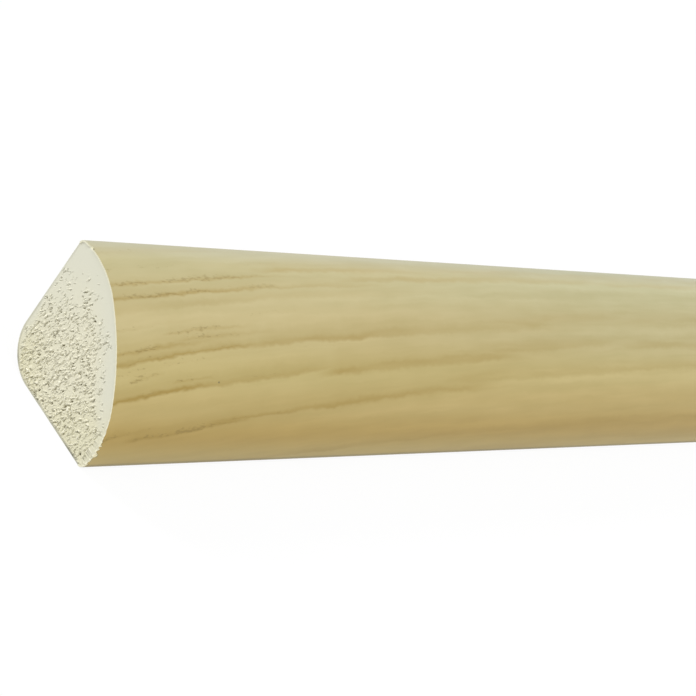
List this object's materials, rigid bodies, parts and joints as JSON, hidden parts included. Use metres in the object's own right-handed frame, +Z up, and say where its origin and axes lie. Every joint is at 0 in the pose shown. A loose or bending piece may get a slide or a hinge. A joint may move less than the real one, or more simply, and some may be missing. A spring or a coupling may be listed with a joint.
{
  "type": "quarter round moulding",
  "caption": "Long quarter round trim: two square flat backs meeting in an eased heel, and a curved face of foamed plastic wrapped in printed wood-grain film.",
  "frame": {"origin": "on the floor under the middle of the bar, halfway across its width", "axes": "+X along the bar, +Y to the upright flat back, +Z up from the flat back that lies on the floor"},
  "size_m": [2.4384, 0.019, 0.019],
  "materials": {
    "foamed_plastic": "sawn ends of fine torn cells, smooth matt extruded skin elsewhere",
    "wood_grain_film": "semi-matt printed pale wood grain"
  },
  "bodies": {
    "root": {"foam_core": "foamed_plastic", "wood_grain_film": "wood_grain_film"}
  },
  "joints": []
}
